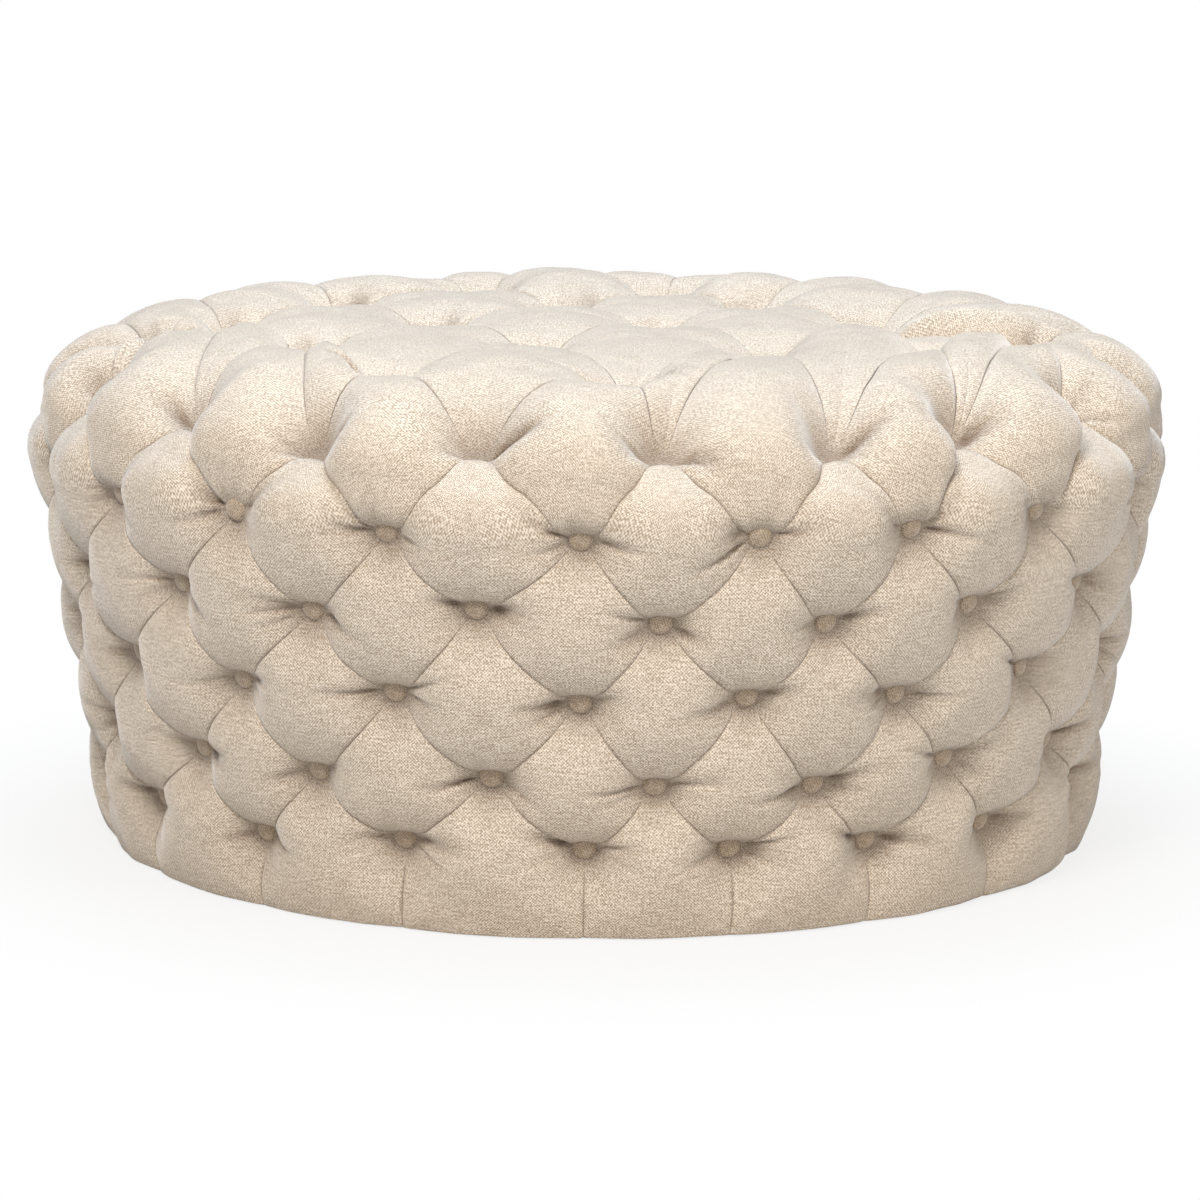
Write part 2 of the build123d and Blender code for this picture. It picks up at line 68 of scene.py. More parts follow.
# How the cloth is drawn up
SIDE_CROWN = 0.0250
TOP_CROWN = 0.0385
RIM_CROWN = 0.0460
RIGHT_RISE = 0.003
CROWN_SPREAD = 0.04
HEM_LIFT = 0.50
HEM_ARCH = 0.16
UPRIGHT_ARCH = 0.45
SMALL_CELL = 0.0096
LARGE_CELL = 0.0260
PLEAT_LIFT = 0.70
TOP_PLEAT_LIFT = 0.84
PLEAT_SAG = 0.80
DOMING = 2.2
PLUMPNESS = 0.84
DIMPLE_START = 0.0088
DIMPLE_WIDTH = 0.0140
DIMPLE_POWER = 1.25
DIMPLE_LEAN = {"side": -0.38, "rim": 0.55}
DROOP = 0.0070
RIM_RISE = 0.0110
BELLY_PLACE = 0.019
BELLY_WIDTH = 0.014
SOFT_WAVE = 0.0008
FOLD_DEPTH = 0.0046
LAP_MARGIN = 0.0030
HEM_MARGIN = 0.0015
# Painted shade: how dark the cloth is coloured in the dimples round the knots and along the gathers, and
# the darkest it gets
DIMPLE_SHADE = 0.62
DIMPLE_SHADE_POWER = 1.3
GATHER_SHADE = 0.55
GATHER_SHADE_FULL = 0.006
DARKEST_PAINTED_SHADE = 0.9
BUTTON_SINK = {"side": -0.0036, "rim": -0.0110, "top": -0.0040}

# Loose hand work: how far things wander from their even places
LOOSE_SIDEWAYS = (-7, 7)
LOOSE_UP = (2, 10)
HEM_WANDER = 0.006
TOP_BOW = 0.007
UPRIGHT_BOW = 0.003
SAG_SPREAD = 0.05
BUTTON_TIP = 0.10
BUTTON_SPIN = 0.5

# Creases run out of each knot: deep ones to the sides, faint ones up and down
SIDE_GATHERS = {"aim": 0.42, "length": (0.034, 0.076), "depth": (0.0040, 0.0105), "width": (0.0026, 0.0048)}
FAINT_GATHERS = {"aim": 0.6, "length": (0.020, 0.040), "depth": (0.0006, 0.0018), "width": (0.0026, 0.0044)}
GATHER_COUNTS = (1, 2, 2, 3)
GATHER_LEANS = (0.45, 1.0, 1.9)
GATHER_START = 0.007
GATHER_RAMP = 0.012
RIPPLE_DEPTH = 0.0006
RIPPLES = 7
RIPPLE_REACH = 0.018

# The last rings of a puff. Over a pleat: outwards, drop. Under it: outwards, drop. Then how much painted
# crease shade it gets
EDGE_RINGS = (
    (-0.0012, 0.0004, -0.0013, -0.0004, 0.10),
    (0.0010, 0.0000, -0.0007, -0.0011, 0.55),
    (0.0014, -0.0010, -0.0003, -0.0019, 1.0),
    (0.0008, -0.0022, -0.0001, -0.0028, 1.0),
    (0.0, -FOLD_DEPTH, 0.0, -FOLD_DEPTH, 1.0),
)

# How finely things are built
PATH_STEPS = 24
EDGE_STEPS = 22
RING_STEPS = 17
BUTTON_STEPS = 30
SHEET_STEPS = 120
MERGE = 0.00001
SEED = 7

# How far the buttons of the front were pulled off the even lattice, in millimetres: sideways, up
HAND_SET = {
    0: {
        -3.5: (-12, 6), -2.5: (0, 9), -1.5: (-1, 0), -0.5: (-3, 9),
        0.5: (3, 7), 1.5: (4, 5), 2.5: (-16, 6), 3.5: (3, 8),
    },
    1: {
        -3: (3, 6), -2: (11, 13), -1: (4, 7), 0: (12, 7),
        1: (5, 8), 2: (-10, 7), 3: (-17, 7), 4: (12, 3),
    },
    2: {
        -3.5: (-10, 2), -2.5: (5, 12), -1.5: (4, 6), -0.5: (1, 18),
        0.5: (2, 8), 1.5: (-6, 3), 2.5: (-10, 6), 3.5: (4, 2),
    },
    3: {
        -3: (-14, 2), -2: (-6, 3), -1: (1, 9), 0: (11, 7),
        1: (3, 10), 2: (-4, 2), 3: (3, 6), 4: (12, 0),
    },
    4: {
        -3.5: (-12, 2), -2.5: (0, 4), -1.5: (-7, 4), -0.5: (8, 12),
        0.5: (2, 7), 1.5: (-3, 2), 2.5: (-11, 10), 3.5: (6, 0),
    },
    5: {
        -3: (-15, 2), -2: (-3, -2), -1: (0, 11), 0: (14, 10),
        1: (-3, 9), 2: (-15, 5), 3: (-16, 1),
    },
}

# The tufts of the top, in millimetres, and two folds without a button where its pleats meet
TOP_TUFTS = {
    "a1": (-180, -290),
    "a2": (26, -338),
    "b1": (-254, -102),
    "b2": (-56, -82),
    "b3": (148, -105),
    "b4": (292, -72),
    "c1": (-334, 40),
    "c2": (-150, 74),
    "c3": (55, 85),
    "c4": (246, 70),
    "d1": (-243, 200),
    "d2": (-35, 198),
    "d3": (142, 225),
    "e1": (-112, 315),
    "e2": (60, 322),
}
TOP_FOLDS = {"right": (380, -14), "left": (-392, -70)}
TOP_PLEATS = """
    a1-b1 a1-b2 a2-b2 a2-b3 b1-c1 b1-c2 b2-c2 b2-c3 b3-c3 b3-c4 b4-c4 c1-d1 c2-d1 c2-d2
    c3-d2 c3-d3 c4-d3 d1-e1 d2-e1 d2-e2 d3-e2 right-b4 right-c4 left-c1
"""
RIM_MATES = "a2 b3 b4 right right right c4 c4 d3 e2 e2 e1 e1 d1 c1 left left c1 b1 a1".split()


def middle_height(node):
    """Height of the middle of a CAD node."""
    low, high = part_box(node)
    return (low[2] + high[2]) / 2


def wall_radius(height):
    """Radius of the button seats of the side."""
    return WALL_FLOOR + WALL_LEAN * height


ROW_NODES = ["rim_buttons"] + [f"button_row_{row}" for row in (5, 4, 3, 2, 1)]
ROW_HEIGHTS = [middle_height(node) for node in ROW_NODES]
TOP_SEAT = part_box("top_buttons")[0][2] - SEAT_GAP
RIM_HEIGHT = ROW_HEIGHTS[0]


# The seat path: a smooth line from the centre of the top over the rim to the floor edge

def smooth_path(points, steps):
    """A smooth line through points, as many samples between each two."""
    points = [np.array(point, dtype=float) for point in points]
    samples = []
    for place in range(len(points) - 1):
        start, end = points[place], points[place + 1]
        before = points[max(place - 1, 0)]
        after = points[min(place + 2, len(points) - 1)]
        span = np.linalg.norm(end - start)
        leave = (end - before) / (np.linalg.norm(end - start) + np.linalg.norm(start - before)) * span
        arrive = (after - start) / (np.linalg.norm(after - end) + span) * span
        for step in range(steps):
            t = step / steps
            samples.append(
                (2 * t**3 - 3 * t**2 + 1) * start
                + (t**3 - 2 * t**2 + t) * leave
                + (3 * t**2 - 2 * t**3) * end
                + (t**3 - t**2) * arrive
            )
    samples.append(points[-1])
    return np.array(samples)


seat_points = [
    (0.0, TOP_SEAT),
    (0.150, TOP_SEAT),
    (0.300, TOP_SEAT),
    (0.360, TOP_SEAT - 0.001),
    (0.405, TOP_SEAT - 0.005),
    (0.434, RIM_HEIGHT + 0.015),
    (RIM_RADIUS, RIM_HEIGHT + 0.001),
    (RIM_RADIUS + 0.0165, RIM_HEIGHT - 0.020),
    (wall_radius(0.352), 0.352),
]
seat_points += [(wall_radius(height), height) for height in ROW_HEIGHTS[1:]]
seat_points += [(wall_radius(0.030), 0.030), (HEM_RADIUS, COVER_BOTTOM)]
path = smooth_path(seat_points, PATH_STEPS)
path_steps = np.linalg.norm(np.diff(path, axis=0), axis=1)
path_s = np.concatenate([[0.0], np.cumsum(path_steps)])
path_slope = np.gradient(path, axis=0)
path_slope /= np.linalg.norm(path_slope, axis=1)[:, None]
HEM_S = path_s[-1]


def path_place(height):
    """How far down the path the side reaches a height."""
    side = path[:, 0] > SIDE_FROM
    return float(np.interp(-height, -path[side][:, 1], path_s[side]))


def on_cover(turn, s, lift):
    """Points over the seat path: turn round the axis, distance s from the centre, lift off the seats."""
    radius = np.interp(s, path_s, path[:, 0])
    height = np.interp(s, path_s, path[:, 1])
    out = -np.interp(s, path_s, path_slope[:, 1])
    up = np.interp(s, path_s, path_slope[:, 0])
    reach = radius + lift * out
    return np.stack([reach * np.sin(turn), -reach * np.cos(turn), height + lift * up], axis=-1)


# Knots are the places where the cloth is tied down; pleats run between them

chance = random.Random(SEED)
knots = []


def add_knot(kind, turn, s, wander=0.0):
    """Notes a knot and gives its number."""
    radius = float(np.interp(s, path_s, path[:, 0]))
    turn += chance.uniform(-wander, wander) / max(radius, 0.05)
    s += chance.uniform(-wander, wander)
    flat = np.array([s * math.sin(turn), -s * math.cos(turn)])
    knots.append({"kind": kind, "turn": turn, "s": s, "flat": flat})
    return len(knots) - 1


rows = []
for row, height in enumerate(ROW_HEIGHTS):
    shift = 0.5 if row % 2 == 0 else 0.0
    kind = "rim" if row == 0 else "side"
    s = path_place(height)
    girth = float(np.interp(s, path_s, path[:, 0]))
    rows.append([])
    for column in range(COLUMNS):
        place = column + shift
        signed = place if place <= COLUMNS / 2 else place - COLUMNS
        if signed in HAND_SET[row]:
            sideways, up = HAND_SET[row][signed]
        else:
            sideways, up = chance.uniform(*LOOSE_SIDEWAYS), chance.uniform(*LOOSE_UP)
        rows[-1].append(add_knot(kind, TURN + place * COLUMN + sideways / 1000 / girth, s - up / 1000))

hem = []
for column in range(COLUMNS):
    above = knots[rows[-1][column]]
    hem.append(add_knot("hem", above["turn"] + chance.uniform(-HEM_WANDER, HEM_WANDER), HEM_S))

top = {}
for name, (x, y) in list(TOP_TUFTS.items()) + list(TOP_FOLDS.items()):
    kind = "top" if name in TOP_TUFTS else "fold"
    top[name] = add_knot(kind, math.atan2(x, -y), math.hypot(x, y) / 1000)

pleats = set()


def add_pleat(first, second):
    """Notes a pleat between two knots."""
    pleats.add((min(first, second), max(first, second)))


for row in range(len(rows) - 1):
    for column in range(COLUMNS):
        if row % 2 == 0:
            add_pleat(rows[row][column], rows[row + 1][column])
            add_pleat(rows[row][column], rows[row + 1][(column + 1) % COLUMNS])
        else:
            add_pleat(rows[row][column], rows[row + 1][column])
            add_pleat(rows[row][column], rows[row + 1][(column - 1) % COLUMNS])
for column in range(COLUMNS):
    add_pleat(rows[-1][column], hem[column])
    add_pleat(hem[column], hem[(column + 1) % COLUMNS])
for pair in TOP_PLEATS.split():
    first, second = pair.split("-")
    add_pleat(top[first], top[second])
for column, mate in enumerate(RIM_MATES):
    add_pleat(rows[0][column], top[mate])
    add_pleat(rows[0][column - 1], top[mate])


def wrapped(turn, near):
    """The same turn, within half a circle of another."""
    return near + (turn - near + math.pi) % (2 * math.pi) - math.pi


# Every pleat is sampled once, so that the puffs on its two sides meet

step_share = (1 - np.cos(np.pi * np.arange(EDGE_STEPS + 1) / EDGE_STEPS)) / 2
pleat_lines = {}
for first, second in sorted(pleats):
    a, b = knots[first], knots[second]
    kinds = {a["kind"], b["kind"]}
    t = step_share
    if "top" in kinds or "fold" in kinds:
        bow = chance.uniform(-TOP_BOW, TOP_BOW) * np.sin(np.pi * t)
        across = b["flat"] - a["flat"]
        across = np.array([-across[1], across[0]]) / np.linalg.norm(across)
        flat = a["flat"] + t[:, None] * (b["flat"] - a["flat"]) + bow[:, None] * across
        turn = np.unwrap(np.arctan2(flat[:, 0], -flat[:, 1]))
        s = np.hypot(flat[:, 0], flat[:, 1])
        sort = "top"
    elif kinds == {"hem"}:
        turn = a["turn"] + t * (wrapped(b["turn"], a["turn"]) - a["turn"])
        s = np.full_like(t, HEM_S)
        sort = "hem"
    elif "hem" in kinds:
        turn = a["turn"] + t * (wrapped(b["turn"], a["turn"]) - a["turn"])
        turn = turn + chance.uniform(-UPRIGHT_BOW, UPRIGHT_BOW) * np.sin(np.pi * t)
        s = a["s"] + t * (b["s"] - a["s"])
        sort = "upright"
    else:
        sag = PLEAT_SAG + chance.uniform(-SAG_SPREAD, SAG_SPREAD)
        share = 1 - (1 - t) ** sag if a["s"] < b["s"] else t**sag
        turn = a["turn"] + share * (wrapped(b["turn"], a["turn"]) - a["turn"])
        s = a["s"] + t * (b["s"] - a["s"])
        sort = "slanted"
    pleat_lines[(first, second)] = {"turn": turn, "s": s, "sort": sort}


# The pleats bound the puffs: each puff is one round of pleats in the flat pattern

def trace_puffs():
    """The rounds of knots, each the outline of one puff."""
    neighbours = {knot: [] for knot in range(len(knots))}
    for first, second in pleats:
        neighbours[first].append(second)
        neighbours[second].append(first)
    for knot, others in neighbours.items():
        here = knots[knot]["flat"]
        others.sort(key=lambda other: math.atan2(*(knots[other]["flat"] - here)[::-1]))
    rounds = []
    seen = set()
    for start in sorted(neighbours):
        for first in neighbours[start]:
            if (start, first) in seen:
                continue
            loop = []
            here, there = start, first
            while (here, there) not in seen:
                seen.add((here, there))
                loop.append(here)
                others = neighbours[there]
                here, there = there, others[others.index(here) - 1]
            rounds.append(loop)
    return rounds


def loop_area(loop):
    """Signed area of a round in the flat pattern."""
    flats = [knots[knot]["flat"] for knot in loop]
    return sum(p[0] * q[1] - q[0] * p[1] for p, q in zip(flats, flats[1:] + flats[:1])) / 2


puffs = [loop for loop in trace_puffs() if loop_area(loop) > 0]


# Gathers: short creases that run out of a knot into the cloth beside it

def add_gather(knot, side, sort, leans):
    """Draws one gather of a knot."""
    knot["gathers"].append(
        {
            "aim": side + chance.uniform(-sort["aim"], sort["aim"]),
            "length": chance.uniform(*sort["length"]),
            "depth": chance.uniform(*sort["depth"]),
            "width": chance.uniform(*sort["width"]),
            "lean": chance.choice(leans) if leans else 1.0,
        }
    )


for knot in knots:
    knot["gathers"] = []
    turn, s = knot["turn"], knot["s"]
    knot["seat"] = on_cover(turn, s, 0.0)
    knot["along"] = np.array([math.cos(turn), math.sin(turn), 0.0])
    out = -float(np.interp(s, path_s, path_slope[:, 1]))
    up = float(np.interp(s, path_s, path_slope[:, 0]))
    knot["face"] = np.array([out * math.sin(turn), -out * math.cos(turn), up])
    knot["uphill"] = np.cross(knot["face"], knot["along"])
    knot["ripple"] = chance.uniform(0, 2 * math.pi)
    if knot["kind"] == "hem":
        continue
    for side in (0.0, math.pi):
        for _ in range(chance.choice(GATHER_COUNTS)):
            add_gather(knot, side, SIDE_GATHERS, GATHER_LEANS)
    for side in (math.pi / 2, -math.pi / 2):
        add_gather(knot, side, FAINT_GATHERS, ())
seats_of = np.array([knot["seat"] for knot in knots])
uphills_of = np.array([knot["uphill"] for knot in knots])

waves = []
for _ in range(14):
    direction = np.array([chance.gauss(0, 1) for _ in range(3)])
    direction /= np.linalg.norm(direction)
    waves.append((direction * 2 * math.pi / chance.uniform(0.035, 0.090), chance.uniform(0, 2 * math.pi)))


def unevenness(points):
    """Small soft waves of the filling, from -1 to 1 or so."""
    total = np.zeros(points.shape[0])
    for direction, phase in waves:
        total += np.sin(points @ direction + phase)
    return total / math.sqrt(len(waves))


def round_knots(seats):
    """Of each point and each knot: the distance, and the share of it that lies uphill of the knot."""
    away = seats[:, None, :] - seats_of[None, :, :]
    distance = np.linalg.norm(away, axis=2)
    uphill = (away * uphills_of[None, :, :]).sum(axis=2) / np.maximum(distance, 1e-6)
    return distance, uphill


def drawn_down(seats):
    """How far each point hangs down the path: cloth bellies over the buttons, and up over the rim tufts."""
    distance, uphill = round_knots(seats)
    total = np.zeros(len(seats))
    for number, knot in enumerate(knots):
        if knot["kind"] not in ("side", "rim"):
            continue
        sign = 1.0 if knot["kind"] == "side" else -1.0
        reach = np.exp(-(((distance[:, number] - BELLY_PLACE) / BELLY_WIDTH) ** 2))
        facing = np.clip(sign * uphill[:, number], 0, 1) ** 1.5
        total += (DROOP if sign > 0 else -RIM_RISE) * reach * facing
    return total


def crease_height(seats, lift):
    """The lift with its dimples and gathers round the knots."""
    distance, uphill = round_knots(seats)
    dimple = np.ones(len(seats))
    cut = np.zeros(len(seats))
    for number, knot in enumerate(knots):
        near = distance[:, number]
        if knot["kind"] == "hem" or near.min() > 0.10:
            continue
        lean = DIMPLE_LEAN.get(knot["kind"], 0.0)
        width = DIMPLE_WIDTH * (1 + lean * uphill[:, number])
        dimple *= 1 - np.exp(-((np.clip(near - DIMPLE_START, 0, 1) / width) ** DIMPLE_POWER))
        away = seats - knot["seat"]
        sideways = away @ knot["along"]
        upwards = away @ knot["uphill"]
        turn = np.arctan2(upwards, sideways)
        cut += RIPPLE_DEPTH * (1 + np.cos(RIPPLES * turn + knot["ripple"])) * np.exp(-near / RIPPLE_REACH)
        for gather in knot["gathers"]:
            along = sideways * math.cos(gather["aim"]) + upwards * math.sin(gather["aim"])
            aside = -sideways * math.sin(gather["aim"]) + upwards * math.cos(gather["aim"])
            run = np.clip(along / gather["length"], 0, 1)
            width = gather["width"] * (0.45 + 1.1 * run)
            width = np.where(aside > 0, width * gather["lean"], width)
            start = np.clip((along - GATHER_START) / GATHER_RAMP, 0, 1)
            cut += gather["depth"] * (1 - run) ** 1.2 * start * np.exp(-((aside / width) ** 2))
    soft = unevenness(seats) * SOFT_WAVE
    cut *= np.clip(dimple * 1.6, 0, 1)
    return (lift + soft) * dimple - cut, dimple, cut


def on_wall(loop):
    """Whether a puff lies wholly on the side."""
    return all(knots[knot]["kind"] in ("side", "rim", "hem") for knot in loop)


cell_middle = {}
for number, loop in enumerate(puffs):
    flats = np.array([knots[knot]["flat"] for knot in loop])
    cell_middle[number] = float(np.linalg.norm(flats, axis=1).mean())

owners = {}
for number, loop in enumerate(puffs):
    for here, there in zip(loop, loop[1:] + loop[:1]):
        owners.setdefault((min(here, there), max(here, there)), []).append(number)


def true_area(loop):
    """Real area of a puff, from the seats of its knots."""
    seats = [on_cover(knots[knot]["turn"], knots[knot]["s"], 0.0) for knot in loop]
    middle = sum(seats) / len(seats)
    area = 0.0
    for p, q in zip(seats, seats[1:] + seats[:1]):
        area += np.linalg.norm(np.cross(p - middle, q - middle)) / 2
    return area


crowns = []
for loop in puffs:
    kinds = {knots[knot]["kind"] for knot in loop}
    right = math.sin(knots[loop[0]]["turn"])
    least = RIM_CROWN + RIGHT_RISE * max(right, 0) if "rim" in kinds and kinds & {"top", "fold"} else 0.0
    size = (true_area(loop) - SMALL_CELL) / (LARGE_CELL - SMALL_CELL)
    crowns.append(max(SIDE_CROWN + (TOP_CROWN - SIDE_CROWN) * min(max(size, 0.0), 1.0) ** 0.8, least))


def pleat_height(pleat, shares):
    """How far a pleat lies off the seats along its length."""
    crown = min(crowns[number] for number in owners[pleat])
    sort = pleat_lines[pleat]["sort"]
    if sort == "hem":
        return crown * (HEM_LIFT + HEM_ARCH * np.sin(np.pi * shares))
    if sort == "upright":
        low_first = knots[pleat[0]]["kind"] == "hem"
        rise = 1 - shares if low_first else shares
        return crown * (UPRIGHT_ARCH * np.sin(np.pi * rise**0.7) ** 0.8 + HEM_LIFT * rise)
    if sort == "top" and "rim" in (knots[pleat[0]]["kind"], knots[pleat[1]]["kind"]):
        rise = shares if knots[pleat[0]]["kind"] == "rim" else 1 - shares
        return crown * TOP_PLEAT_LIFT * np.sin(np.pi * rise**0.9) ** 0.85
    if sort == "top":
        return crown * TOP_PLEAT_LIFT * np.sin(np.pi * shares) ** 0.6
    return crown * PLEAT_LIFT * np.sin(np.pi * shares) ** 0.9


def build_cover():
    """The drawn up linen of the side and the top, one closed mesh with its puffs, pleats and dimples."""
    mesh = bmesh.new()
    weave = mesh.loops.layers.uv.new("weave")
    # The fold attribute carries painted crease shade: darker colour in the pleat crevices, the dimples and
    # the gathers
    crease_shade_layer = mesh.verts.layers.float.new("fold")
    for number, loop in enumerate(puffs):
        turns, ss, shares, laps = [], [], [], []
        heights = []
        for here, there in zip(loop, loop[1:] + loop[:1]):
            pleat = (min(here, there), max(here, there))
            line = pleat_lines[pleat]
            rise = pleat_height(pleat, step_share)
            turn, s = line["turn"], line["s"]
            if here > there:
                turn, s, rise = turn[::-1], s[::-1], rise[::-1]
            if line["sort"] == "hem":
                lap = 0.0
            elif line["sort"] == "upright":
                lap = 1.0 if knots[here]["kind"] == "hem" else -1.0
            else:
                other = [owner for owner in owners[pleat] if owner != number][0]
                lap = 1.0 if (cell_middle[number], number) < (cell_middle[other], other) else -1.0
            turns.append(turn[:-1])
            ss.append(s[:-1])
            heights.append(rise[:-1])
            shares.append(np.sin(np.pi * step_share[:-1]))
            laps.append(np.full(EDGE_STEPS, lap))
        turns, ss, heights = np.concatenate(turns), np.concatenate(ss), np.concatenate(heights)
        shares, laps = np.concatenate(shares), np.concatenate(laps)
        crown = crowns[number] * chance.uniform(1 - CROWN_SPREAD, 1 + CROWN_SPREAD)

        wall = on_wall(loop)
        if wall:
            near = turns[0]
            turns = near + (turns - near + math.pi) % (2 * math.pi) - math.pi
            girth = float(np.interp(ss.mean(), path_s, path[:, 0]))
            edge = np.stack([turns * girth, ss], axis=1)
        else:
            edge = np.stack([ss * np.sin(turns), -ss * np.cos(turns)], axis=1)
        middle = edge.mean(axis=0)
        ray = edge - middle
        reach = np.linalg.norm(ray, axis=1)
        ray = ray / reach[:, None]

        over = laps > 0
        under = laps < 0
        soft = shares**0.55
        rings = []
        margin = np.where(over | under, LAP_MARGIN, HEM_MARGIN) * (0.3 + 0.7 * soft)
        for step in range(RING_STEPS + 1):
            share = math.sin(math.pi / 2 * step / RING_STEPS) ** 1.1
            distance = (reach - margin) * share
            bulge = np.clip(1 - (distance / reach) ** DOMING, 0, 1) ** PLUMPNESS
            plain = np.zeros(len(reach))
            rings.append((distance, heights + (crown - heights) * bulge, plain, plain))
        for over_by, over_drop, under_by, under_drop, fold in EDGE_RINGS:
            by = np.where(over, over_by, np.where(under, under_by, 0.0)) * soft
            drop = np.where(over, over_drop, np.where(under, under_drop, 0.0)) * soft
            rings.append((reach + by, heights, drop, np.where(over | under, fold, 0.0) * soft))

        count = len(turns)
        first_face = len(mesh.faces)
        made = bmesh.ops.create_grid(mesh, x_segments=count, y_segments=len(rings) - 1, size=1.0)["verts"]
        distances = np.array([ring[0] for ring in rings])
        lifts = np.array([ring[1] for ring in rings])
        drops = np.array([ring[2] for ring in rings])
        crease_shades = np.array([ring[3] for ring in rings])
        places = middle + ray[None, :, :] * distances[:, :, None]
        if wall:
            place_turn = places[:, :, 0] / girth
            place_s = places[:, :, 1]
        else:
            place_turn = np.arctan2(places[:, :, 0], -places[:, :, 1])
            place_s = np.hypot(places[:, :, 0], places[:, :, 1])
        place_s = np.minimum(place_s, HEM_S)
        flat_turn, flat_s = place_turn.ravel(), place_s.ravel()
        seats = on_cover(flat_turn, flat_s, np.zeros_like(flat_s))
        lift, dimple, cut = crease_height(seats, lifts.ravel())
        lift = lift + drops.ravel() * np.clip(dimple * 1.5, 0, 1)
        flat_s = np.minimum(flat_s + drawn_down(seats), HEM_S)
        points = on_cover(flat_turn, flat_s, lift).reshape(len(rings), count, 3)
        points[:, :, 2] = np.maximum(points[:, :, 2], COVER_BOTTOM)
        # Painted shade, darkest in the dimples and along the gathers
        shade = DIMPLE_SHADE * (1 - dimple) ** DIMPLE_SHADE_POWER
        shade = np.clip(shade + GATHER_SHADE * np.clip(cut / GATHER_SHADE_FULL, 0, 1), 0, DARKEST_PAINTED_SHADE)
        crease_shades = np.maximum(crease_shades, shade.reshape(crease_shades.shape))
        steps = np.linalg.norm(np.diff(points, axis=0), axis=2)
        run = np.concatenate([np.zeros((1, count)), np.cumsum(steps, axis=0)])
        threads = middle + ray[None, :, :] * run[:, :, None]
        if wall:
            threads = threads * (1, -1)

        at = {}
        for vert in made:
            column = round((vert.co.x + 1) / 2 * count)
            ring = round((vert.co.y + 1) / 2 * (len(rings) - 1))
            at[vert] = (ring, column % count)
            vert[crease_shade_layer] = crease_shades[ring, column % count]
        for vert, (ring, column) in at.items():
            vert.co = points[ring, column]
        mesh.faces.ensure_lookup_table()
        for face in mesh.faces[first_face:]:
            for corner in face.loops:
                ring, column = at[corner.vert]
                corner[weave].uv = threads[ring, column]
    bmesh.ops.remove_doubles(mesh, verts=mesh.verts, dist=2 * MERGE)
    bmesh.ops.dissolve_degenerate(mesh, edges=mesh.edges, dist=MERGE / 2)

    lining = [edge for edge in mesh.edges if edge.is_boundary]
    grown = bmesh.ops.extrude_edge_only(mesh, edges=lining)["geom"]
    for vert in (item for item in grown if isinstance(item, bmesh.types.BMVert)):
        shrink = LINING_LOW / math.hypot(vert.co.x, vert.co.y)
        vert.co = (vert.co.x * shrink, vert.co.y * shrink, COVER_BOTTOM)
    inner = [item for item in grown if isinstance(item, bmesh.types.BMEdge) and item.is_boundary]
    grown = bmesh.ops.extrude_edge_only(mesh, edges=inner)["geom"]
    widen = LINING_HIGH / LINING_LOW
    for vert in (item for item in grown if isinstance(item, bmesh.types.BMVert)):
        vert.co = (vert.co.x * widen, vert.co.y * widen, LINING_TOP)
    cap = [item for item in grown if isinstance(item, bmesh.types.BMEdge) and item.is_boundary]
    bmesh.ops.edgeloop_fill(mesh, edges=cap)
    bmesh.ops.recalc_face_normals(mesh, faces=mesh.faces)
    return finish_piece("tufted_cover", mesh)


def finish_piece(name, mesh, smooth=True):
    """Makes an object of a bmesh, at the origin."""
    data = bpy.data.meshes.new(name)
    mesh.to_mesh(data)
    mesh.free()
    for face in data.polygons:
        face.use_smooth = smooth
    piece = bpy.data.objects.new(name, data)
    bpy.context.scene.collection.objects.link(piece)
    return piece


def build_button_shape():
    """One covered button on its back: a low dome with cloth gathered round its edge."""
    mesh = bmesh.new()
    radius = BUTTON_RADIUS
    outline = [
        (0.0, BUTTON_HEIGHT),
        (radius * 0.35, 0.0069),
        (radius * 0.66, 0.0063),
        (radius * 0.90, 0.0050),
        (radius, 0.0030),
        (radius * 0.98, 0.0014),
        (radius * 0.86, 0.0004),
        (0.0, 0.0002),
    ]
    verts = [mesh.verts.new((x, 0.0, z)) for x, z in outline]
    edges = [mesh.edges.new(pair) for pair in zip(verts, verts[1:])]
    bmesh.ops.spin(
        mesh,
        geom=verts + edges,
        axis=(0, 0, 1),
        cent=(0, 0, 0),
        angle=2 * math.pi,
        steps=BUTTON_STEPS,
        use_merge=True,
    )
    bmesh.ops.remove_doubles(mesh, verts=mesh.verts, dist=MERGE)
    for vert in mesh.verts:
        turn = math.atan2(vert.co.y, vert.co.x)
        ripple = (math.hypot(vert.co.x, vert.co.y) / radius) ** 4
        vert.co.z += ripple * 0.00022 * math.sin(11 * turn) * (vert.co.z > 0.001)
    bmesh.ops.recalc_face_normals(mesh, faces=mesh.faces)
    weave = mesh.loops.layers.uv.new("weave")
    for face in mesh.faces:
        for corner in face.loops:
            corner[weave].uv = corner.vert.co.xy
    shape = bpy.data.meshes.new("button_shape")
    mesh.to_mesh(shape)
    mesh.free()
    return shape


